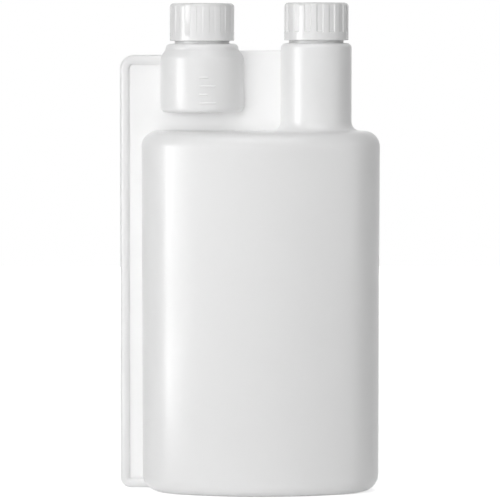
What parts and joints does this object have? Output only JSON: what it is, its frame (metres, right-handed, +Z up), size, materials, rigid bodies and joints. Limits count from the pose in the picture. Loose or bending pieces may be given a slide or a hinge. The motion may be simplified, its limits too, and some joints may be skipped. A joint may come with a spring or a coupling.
{
  "type": "twin-neck dosing bottle",
  "caption": "One-litre twin-neck dosing bottle with a side transfer tube, a small measuring chamber and two fluted screw caps.",
  "frame": {"origin": "on the standing plane, under the middle of the overall width and depth", "axes": "+Z up along the necks, -Y towards the front face, +X from the side tube towards the tall neck column"},
  "size_m": [0.1228, 0.07, 0.2308],
  "materials": {
    "natural_plastic": "satin, slightly translucent blow-moulded polyethylene",
    "cap_plastic": "smooth white moulded polypropylene",
    "liner_foam": "fine white sealing foam"
  },
  "bodies": {
    "bottle": {"bottle": "natural_plastic"},
    "neck_liner": {"neck_cap_liner": "liner_foam"},
    "neck_cap": {"neck_cap": "cap_plastic"},
    "dosing_liner": {"dosing_cap_liner": "liner_foam"},
    "dosing_cap": {"dosing_cap": "cap_plastic"}
  },
  "joints": [
    {"name": "neck_cap_lift", "type": "slide", "parent": "bottle", "child": "neck_liner", "axis": [0, 0, 1], "range_m": [0, 0.0255]},
    {"name": "neck_cap_turn", "type": "hinge", "parent": "neck_liner", "child": "neck_cap", "pos_m": [0.03127, 0, 0.222], "axis": [0, 0, 1], "range_deg": [0, 2160]},
    {"name": "dosing_cap_lift", "type": "slide", "parent": "bottle", "child": "dosing_liner", "axis": [0, 0, 1], "range_m": [0, 0.0255]},
    {"name": "dosing_cap_turn", "type": "hinge", "parent": "dosing_liner", "child": "dosing_cap", "pos_m": [-0.02262, 0, 0.2217], "axis": [0, 0, 1], "range_deg": [0, 2160]}
  ],
  "couplings": [
    {"joint": "neck_cap_lift", "follows": "neck_cap_turn", "m_per_rad": 0.00067376},
    {"joint": "dosing_cap_lift", "follows": "dosing_cap_turn", "m_per_rad": 0.00067376}
  ]
}
